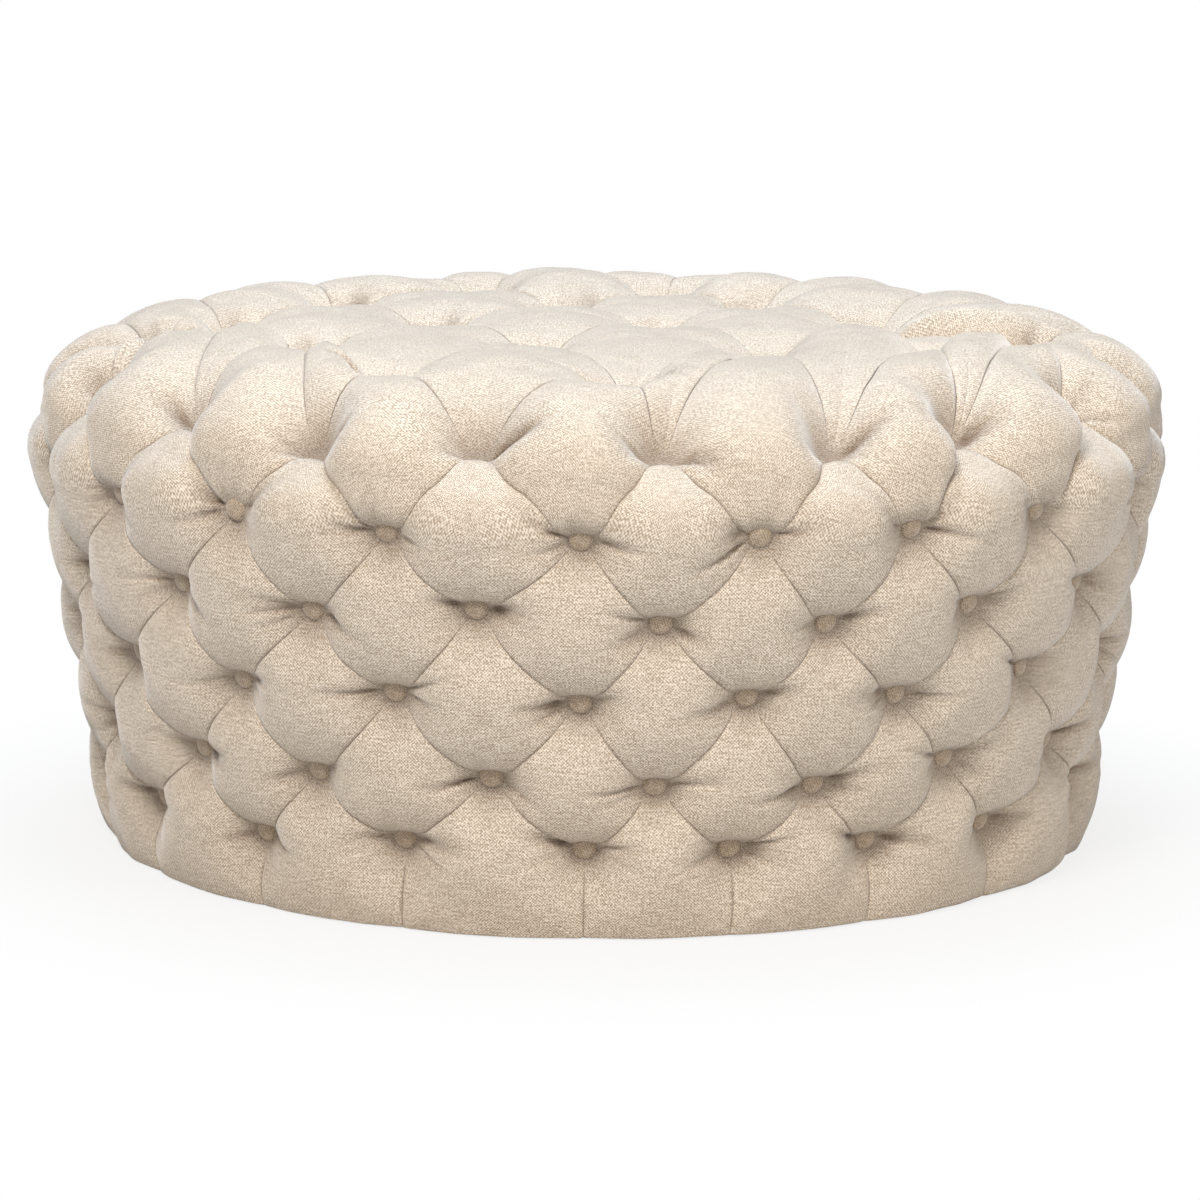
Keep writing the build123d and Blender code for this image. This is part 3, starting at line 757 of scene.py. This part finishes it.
def build_buttons(name, places):
    """A row of covered buttons, each seated on its knot and a little turned and tipped."""
    mesh = bmesh.new()
    for number in places:
        knot = knots[number]
        first = len(mesh.verts)
        mesh.from_mesh(button_shape)
        mesh.verts.ensure_lookup_table()
        face, along = Vector(knot["face"]), Vector(knot["along"])
        stand = Matrix((along, face.cross(along), face)).transposed().to_4x4()
        tip = Matrix.Rotation(chance.uniform(-BUTTON_TIP, BUTTON_TIP), 4, "X")
        tip = tip @ Matrix.Rotation(chance.uniform(-BUTTON_TIP, BUTTON_TIP), 4, "Y")
        spin = Matrix.Rotation(chance.uniform(-BUTTON_SPIN, BUTTON_SPIN), 4, "Z")
        seat = Matrix.Translation(Vector(knot["seat"]) + face * BUTTON_SINK[knot["kind"]])
        bmesh.ops.transform(mesh, matrix=seat @ stand @ tip @ spin, verts=mesh.verts[first:])
    return finish_piece(name, mesh)


cover = build_cover()
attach(cover, "root")
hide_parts("side_cover", "top_cover", "side_wadding", "top_wadding", "side_foam", "top_foam")

button_shape = build_button_shape()
button_pieces = []
for node, row in zip(ROW_NODES, rows):
    button_pieces.append(build_buttons(f"covered_{node}", row))
    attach(button_pieces[-1], "root")
    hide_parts(node)
button_pieces.append(build_buttons("covered_top_buttons", [top[name] for name in TOP_TUFTS]))
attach(button_pieces[-1], "root")
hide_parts("top_buttons")


def build_sheet(name, outline):
    """A thin round sheet of cloth, spun from its outline of (radius, height)."""
    mesh = bmesh.new()
    verts = [mesh.verts.new((x, 0.0, z)) for x, z in outline]
    edges = [mesh.edges.new(pair) for pair in zip(verts, verts[1:])]
    if outline[0][0] > 0:
        edges.append(mesh.edges.new((verts[-1], verts[0])))
    axis, centre = (0, 0, 1), (0, 0, 0)
    turn = 2 * math.pi
    bmesh.ops.spin(
        mesh, geom=verts + edges, axis=axis, cent=centre, angle=turn, steps=SHEET_STEPS, use_merge=True
    )
    bmesh.ops.remove_doubles(mesh, verts=mesh.verts, dist=MERGE)
    bmesh.ops.recalc_face_normals(mesh, faces=mesh.faces)
    weave = mesh.loops.layers.uv.new("weave")
    for face in mesh.faces:
        for corner in face.loops:
            corner[weave].uv = corner.vert.co.xy
    return finish_piece(name, mesh)


low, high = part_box("cover_hem")
hem_in, hem_out = HEM_INNER, high[0] - SHEET_CLEARANCE
hem_sheet = build_sheet(
    "hem_turned_under", [(hem_in, low[2]), (hem_out, low[2]), (hem_out, high[2]), (hem_in, high[2])]
)
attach(hem_sheet, "root")
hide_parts("cover_hem")

low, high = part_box("dust_cover")
sags = (*DUST_COVER_SAG, (high[0], 0.0))
under = [(radius, low[2] - sag) for radius, sag in sags]
over = [(radius, high[2] - sag) for radius, sag in reversed(sags)]
dust_sheet = build_sheet("stapled_dust_cover", under + over)
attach(dust_sheet, "root")
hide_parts("dust_cover")


# Materials

def srgb(red, green, blue):
    """A colour given as screen values from 0 to 255, in linear light."""
    linear = []
    for value in (red, green, blue):
        part = value / 255
        linear.append(part / 12.92 if part <= 0.04045 else ((part + 0.055) / 1.055) ** 2.4)
    return (*linear, 1.0)


def new_material(name):
    """A material with an empty tree, its shader and its output."""
    material = bpy.data.materials.new(name)
    material.use_nodes = True
    tree = material.node_tree
    tree.nodes.clear()
    shader = tree.nodes.new("ShaderNodeBsdfPrincipled")
    output = tree.nodes.new("ShaderNodeOutputMaterial")
    tree.links.new(shader.outputs["BSDF"], output.inputs["Surface"])
    return material, tree, shader


def link(tree, source, target):
    """Joins an output socket to an input socket."""
    tree.links.new(source, target)


def math_node(tree, kind, first, second):
    """A Math node on sockets or numbers."""
    node = tree.nodes.new("ShaderNodeMath")
    node.operation = kind
    for socket, value in zip(node.inputs, (first, second)):
        if isinstance(value, (int, float)):
            socket.default_value = value
        else:
            link(tree, value, socket)
    return node.outputs[0]


def map_range(tree, value, span=(0.0, 1.0), reach=(0.0, 1.0)):
    """A Map Range node from one span to another."""
    node = tree.nodes.new("ShaderNodeMapRange")
    for name, number in zip(("From Min", "From Max", "To Min", "To Max"), (*span, *reach)):
        node.inputs[name].default_value = number
    link(tree, value, node.inputs["Value"])
    return node.outputs["Result"]


def noise_node(tree, vector, scale, detail=2.0, roughness=0.5, stretch=(1, 1, 1)):
    """A Noise Texture read on stretched coordinates."""
    mapping = tree.nodes.new("ShaderNodeMapping")
    mapping.inputs["Scale"].default_value = stretch
    link(tree, vector, mapping.inputs["Vector"])
    node = tree.nodes.new("ShaderNodeTexNoise")
    node.inputs["Scale"].default_value = scale
    node.inputs["Detail"].default_value = detail
    node.inputs["Roughness"].default_value = roughness
    link(tree, mapping.outputs["Vector"], node.inputs["Vector"])
    return node.outputs["Fac"]


def weighted_sum(tree, parts):
    """The sum of sockets, each times its weight."""
    total = None
    for socket, weight in parts:
        part = math_node(tree, "MULTIPLY", socket, weight)
        total = part if total is None else math_node(tree, "ADD", total, part)
    return total


def mix_colour(tree, share, first, second, blend="MIX"):
    """A colour Mix node on sockets or colours."""
    node = tree.nodes.new("ShaderNodeMix")
    node.data_type = "RGBA"
    node.blend_type = blend
    for socket, value in ((node.inputs[0], share), (node.inputs[6], first), (node.inputs[7], second)):
        if isinstance(value, (int, float, tuple)):
            socket.default_value = value
        else:
            link(tree, value, socket)
    return node.outputs[2]


THREAD_PERIOD = 0.0027


def build_linen_group():
    """Threads of a slubby linen on a flat vector in metres: its tone from 0 to 1 and its height."""
    group = bpy.data.node_groups.new("linen_threads", "ShaderNodeTree")
    group.interface.new_socket("Vector", in_out="INPUT", socket_type="NodeSocketVector")
    group.interface.new_socket("Tone", in_out="OUTPUT", socket_type="NodeSocketFloat")
    group.interface.new_socket("Height", in_out="OUTPUT", socket_type="NodeSocketFloat")
    start = group.nodes.new("NodeGroupInput")
    end = group.nodes.new("NodeGroupOutput")
    vector = start.outputs["Vector"]
    warp = noise_node(group, vector, 1.0, 2.0, 0.6, (90.0, 90.0, 1.0))
    wander = math_node(group, "MULTIPLY", warp, 2.4)
    parts = group.nodes.new("ShaderNodeSeparateXYZ")
    link(group, vector, parts.inputs[0])
    threads = []
    for part in parts.outputs[:2]:
        phase = math_node(group, "MULTIPLY", part, 2 * math.pi / THREAD_PERIOD)
        threads.append(math_node(group, "SINE", math_node(group, "ADD", phase, wander), 0.0))
    ribs = math_node(group, "MULTIPLY", threads[0], threads[1])
    slubs = noise_node(group, vector, 1.0, 1.0, 0.5, (56.0, 540.0, 1.0))
    cross_slubs = noise_node(group, vector, 1.0, 1.0, 0.5, (640.0, 80.0, 1.0))
    grain = noise_node(group, vector, 1.0, 1.0, 0.6, (570.0, 570.0, 1.0))
    tone = weighted_sum(group, ((slubs, 0.22), (cross_slubs, 0.17), (grain, 0.66), (ribs, 0.12)))
    link(group, tone, end.inputs["Tone"])
    height = weighted_sum(group, ((ribs, 0.35), (slubs, 0.6), (grain, 1.0)))
    link(group, height, end.inputs["Height"])
    return group


linen_threads = build_linen_group()


LINEN_LIGHT = srgb(250, 239, 224)
LINEN_DARK = srgb(180, 163, 143)
# The buttons are a darker copy of the linen: painted shade for the holes they sit in
SHADED_BUTTON_LIGHT = srgb(210, 193, 172)
SHADED_BUTTON_DARK = srgb(160, 141, 120)
# Painted crease shade: the dark brown the cloth is mixed towards where the fold attribute is high
CREASE_SHADE_COLOUR = srgb(92, 66, 44)
CREASE_SHADE_SHARE = 0.92


def linen_material(name, light, dark, has_crease_shade):
    """The cream linen, with painted shade where the pleats fold in."""
    material, tree, shader = new_material(name)
    uv = tree.nodes.new("ShaderNodeUVMap")
    uv.uv_map = "weave"
    threads = tree.nodes.new("ShaderNodeGroup")
    threads.node_tree = linen_threads
    link(tree, uv.outputs["UV"], threads.inputs["Vector"])
    colour = mix_colour(tree, map_range(tree, threads.outputs["Tone"], (0.42, 0.64)), dark, light)
    coords = tree.nodes.new("ShaderNodeTexCoord")
    cloud = noise_node(tree, coords.outputs["Object"], 7.0, 2.0, 0.5)
    shade = map_range(tree, cloud, reach=(0.955, 1.03))
    grey = tree.nodes.new("ShaderNodeCombineColor")
    for socket in grey.inputs:
        link(tree, shade, socket)
    colour = mix_colour(tree, 1.0, colour, grey.outputs[0], "MULTIPLY")
    if has_crease_shade:
        # Painted crease shade, read from the fold attribute
        fold = tree.nodes.new("ShaderNodeAttribute")
        fold.attribute_name = "fold"
        depth = math_node(tree, "MULTIPLY", fold.outputs["Fac"], CREASE_SHADE_SHARE)
        colour = mix_colour(tree, depth, colour, CREASE_SHADE_COLOUR)
    link(tree, colour, shader.inputs["Base Color"])
    shader.inputs["Roughness"].default_value = 0.92
    shader.inputs["Specular IOR Level"].default_value = 0.18
    shader.inputs["Sheen Weight"].default_value = 0.70
    shader.inputs["Sheen Roughness"].default_value = 0.40
    bump = tree.nodes.new("ShaderNodeBump")
    bump.inputs["Strength"].default_value = 0.50
    bump.inputs["Distance"].default_value = 0.0007
    link(tree, threads.outputs["Height"], bump.inputs["Height"])
    link(tree, bump.outputs["Normal"], shader.inputs["Normal"])
    return material


linen = linen_material("cream_linen", LINEN_LIGHT, LINEN_DARK, True)
button_linen = linen_material("button_linen", SHADED_BUTTON_LIGHT, SHADED_BUTTON_DARK, False)
cover.data.materials.append(linen)
for piece in button_pieces:
    piece.data.materials.append(button_linen)
hem_sheet.data.materials.append(linen_material("hem_linen", LINEN_LIGHT, LINEN_DARK, False))


def streaks_group():
    """Streaks and specks on a vector in metres: their tone from 0 to 1."""
    group = bpy.data.node_groups.new("streaks", "ShaderNodeTree")
    for name, kind in (("Vector", "Vector"), ("Scale", "Float"), ("Fine", "Float")):
        group.interface.new_socket(name, in_out="INPUT", socket_type=f"NodeSocket{kind}")
    group.interface.new_socket("Tone", in_out="OUTPUT", socket_type="NodeSocketFloat")
    start = group.nodes.new("NodeGroupInput")
    end = group.nodes.new("NodeGroupOutput")
    broad = group.nodes.new("ShaderNodeTexNoise")
    broad.inputs["Detail"].default_value = 4.0
    broad.inputs["Roughness"].default_value = 0.6
    link(group, start.outputs["Vector"], broad.inputs["Vector"])
    link(group, start.outputs["Scale"], broad.inputs["Scale"])
    specks = group.nodes.new("ShaderNodeTexNoise")
    specks.inputs["Detail"].default_value = 2.0
    link(group, start.outputs["Vector"], specks.inputs["Vector"])
    link(group, start.outputs["Fine"], specks.inputs["Scale"])
    tone = weighted_sum(group, ((broad.outputs["Fac"], 0.65), (specks.outputs["Fac"], 0.35)))
    link(group, tone, end.inputs["Tone"])
    return group


streaks = streaks_group()


def streaky_material(name, light, dark, stretch, scale, fine, rough, metal=0.0, bump=0.3, plies=0.0):
    """A material of the hidden parts: streaks, specks and, where asked for, plies across the height."""
    material, tree, shader = new_material(name)
    coords = tree.nodes.new("ShaderNodeTexCoord")
    mapping = tree.nodes.new("ShaderNodeMapping")
    mapping.inputs["Scale"].default_value = stretch
    link(tree, coords.outputs["Object"], mapping.inputs["Vector"])
    pattern = tree.nodes.new("ShaderNodeGroup")
    pattern.node_tree = streaks
    link(tree, mapping.outputs["Vector"], pattern.inputs["Vector"])
    pattern.inputs["Scale"].default_value = scale
    pattern.inputs["Fine"].default_value = fine
    tone = pattern.outputs["Tone"]
    if plies:
        parts = tree.nodes.new("ShaderNodeSeparateXYZ")
        link(tree, coords.outputs["Object"], parts.inputs[0])
        phase = math_node(tree, "MULTIPLY", parts.outputs[2], 2 * math.pi / plies)
        layer = math_node(tree, "MULTIPLY", math_node(tree, "SINE", phase, 0.0), 0.10)
        tone = math_node(tree, "ADD", tone, layer)
    share = map_range(tree, tone, (0.36, 0.64))
    link(tree, mix_colour(tree, share, dark, light), shader.inputs["Base Color"])
    polish = map_range(tree, tone, reach=(rough + 0.10, rough - 0.10))
    link(tree, polish, shader.inputs["Roughness"])
    shader.inputs["Metallic"].default_value = metal
    relief = tree.nodes.new("ShaderNodeBump")
    relief.inputs["Strength"].default_value = bump
    relief.inputs["Distance"].default_value = 0.0004
    link(tree, tone, relief.inputs["Height"])
    link(tree, relief.outputs["Normal"], shader.inputs["Normal"])
    return material


along_x, upright, even = (0.06, 1.0, 1.0), (1.0, 1.0, 0.06), (1.0, 1.0, 1.0)
finishes = {
    "plywood": streaky_material(
        "birch_plywood", srgb(214, 186, 144), srgb(176, 142, 100), along_x, 90.0, 900.0, 0.62, plies=0.0026
    ),
    "pine": streaky_material(
        "planed_pine", srgb(226, 196, 148), srgb(186, 144, 94), upright, 70.0, 800.0, 0.60
    ),
    "hardboard": streaky_material(
        "brown_hardboard", srgb(140, 104, 70), srgb(104, 74, 48), even, 260.0, 1400.0, 0.66
    ),
    "screw_steel": streaky_material(
        "zinc_screws", srgb(206, 198, 176), srgb(150, 142, 124), even, 300.0, 2200.0, 0.38, 1.0
    ),
    "washer_steel": streaky_material(
        "plated_washers", srgb(196, 198, 202), srgb(140, 142, 148), along_x, 500.0, 2400.0, 0.34, 1.0
    ),
    "twine": streaky_material(
        "waxed_twine", srgb(214, 198, 168), srgb(156, 136, 104), upright, 1400.0, 4200.0, 0.70, bump=0.8
    ),
    "glide_nylon": streaky_material(
        "black_nylon", srgb(50, 50, 52), srgb(28, 28, 30), even, 120.0, 1800.0, 0.46, bump=0.15
    ),
    "cambric": streaky_material(
        "black_cambric", srgb(66, 64, 62), srgb(34, 33, 32), even, 340.0, 1500.0, 0.90, bump=0.7
    ),
}
dust_sheet.data.materials.append(finishes["cambric"])
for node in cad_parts.values():
    for place in node.material_slots:
        kind = place.material.name.split(".")[0]
        if kind in finishes:
            place.material = finishes[kind]
        elif kind in ("linen", "button_linen"):
            place.material = button_linen


# Camera at the photograph's place

PHOTO = 1200
FOCAL_PIXELS = 4480.0
CENTRE_X = 597.0
CAMERA_DISTANCE = 4.0
CAMERA_HEIGHT = 0.9453
CAMERA_PITCH = math.radians(10.53)
CAMERA_ROLL = math.radians(0.50)
SENSOR = 36.0

camera_data = bpy.data.cameras.new("camera")
camera_data.sensor_fit = "HORIZONTAL"
camera_data.sensor_width = SENSOR
camera_data.lens = FOCAL_PIXELS / PHOTO * SENSOR
camera_data.shift_x = (PHOTO / 2 - CENTRE_X) / PHOTO
camera = bpy.data.objects.new("camera", camera_data)
aim = Matrix.Rotation(math.pi / 2 - CAMERA_PITCH, 4, "X") @ Matrix.Rotation(CAMERA_ROLL, 4, "Z")
camera.matrix_world = Matrix.Translation((0.0, -CAMERA_DISTANCE, CAMERA_HEIGHT)) @ aim
bpy.context.scene.collection.objects.link(camera)
bpy.context.scene.camera = camera


# Floor, backdrop and lamps

FLOOR_RADIUS = 60.0
SHADOW_EDGE = (0.42, 0.72)
SHADOW_SHOWN = (0.80, 1.0)


def seen_share(tree):
    """1 where the camera sees the surface, also in a mirror or through glass."""
    rays = tree.nodes.new("ShaderNodeLightPath")
    seen = math_node(tree, "MAXIMUM", rays.outputs["Is Camera Ray"], rays.outputs["Is Glossy Ray"])
    return math_node(tree, "MAXIMUM", seen, rays.outputs["Is Transmission Ray"])


floor_mesh = bmesh.new()
bmesh.ops.create_circle(floor_mesh, cap_ends=True, radius=FLOOR_RADIUS, segments=64)
floor = finish_piece("floor", floor_mesh, smooth=False)
floor_material, tree, shader = new_material("pale_floor")
shader.inputs["Base Color"].default_value = srgb(214, 213, 212)
shader.inputs["Roughness"].default_value = 0.9
glow = tree.nodes.new("ShaderNodeEmission")
glow.inputs["Color"].default_value = (1, 1, 1, 1)
glow.inputs["Strength"].default_value = 1.0
spot = tree.nodes.new("ShaderNodeTexCoord")
span = tree.nodes.new("ShaderNodeVectorMath")
span.operation = "LENGTH"
link(tree, spot.outputs["Object"], span.inputs[0])
fade = map_range(tree, span.outputs["Value"], SHADOW_EDGE, SHADOW_SHOWN)
share = math_node(tree, "MULTIPLY", seen_share(tree), fade)
mixer = tree.nodes.new("ShaderNodeMixShader")
link(tree, share, mixer.inputs[0])
link(tree, shader.outputs[0], mixer.inputs[1])
link(tree, glow.outputs[0], mixer.inputs[2])
output = [node for node in tree.nodes if node.type == "OUTPUT_MATERIAL"][0]
link(tree, mixer.outputs[0], output.inputs["Surface"])
floor.data.materials.append(floor_material)

world = bpy.data.worlds.new("studio")
bpy.context.scene.world = world
world.use_nodes = True
tree = world.node_tree
tree.nodes.clear()
room = tree.nodes.new("ShaderNodeBackground")
room.inputs["Color"].default_value = (1.0, 0.91, 0.79, 1)
room.inputs["Strength"].default_value = 0.21
white = tree.nodes.new("ShaderNodeBackground")
white.inputs["Color"].default_value = (1, 1, 1, 1)
white.inputs["Strength"].default_value = 1.0
mixer = tree.nodes.new("ShaderNodeMixShader")
output = tree.nodes.new("ShaderNodeOutputWorld")
link(tree, seen_share(tree), mixer.inputs[0])
link(tree, room.outputs[0], mixer.inputs[1])
link(tree, white.outputs[0], mixer.inputs[2])
link(tree, mixer.outputs[0], output.inputs["Surface"])


def soft_lamp(name, place, target, size, power, colour):
    """A square soft lamp aimed at a point."""
    data = bpy.data.lights.new(name, "AREA")
    data.shape = "SQUARE"
    data.size = size
    data.energy = power
    data.color = colour
    lamp = bpy.data.objects.new(name, data)
    lamp.location = place
    lamp.rotation_euler = (Vector(target) - Vector(place)).to_track_quat("-Z", "Y").to_euler()
    bpy.context.scene.collection.objects.link(lamp)


soft_lamp("front_lamp", (-0.9, -2.7, 3.3), (0, 0, 0.2), 1.2, 114.0, (1.0, 0.952, 0.905))
soft_lamp("side_lamp", (2.6, -2.2, 2.4), (0, 0, 0.25), 1.8, 40.0, (1.0, 0.95, 0.89))
soft_lamp("top_lamp", (0.0, 0.7, 3.0), (0, 0, 0.4), 1.6, 63.0, (0.62, 0.79, 1.0))

bpy.context.scene.view_settings.view_transform = "Standard"
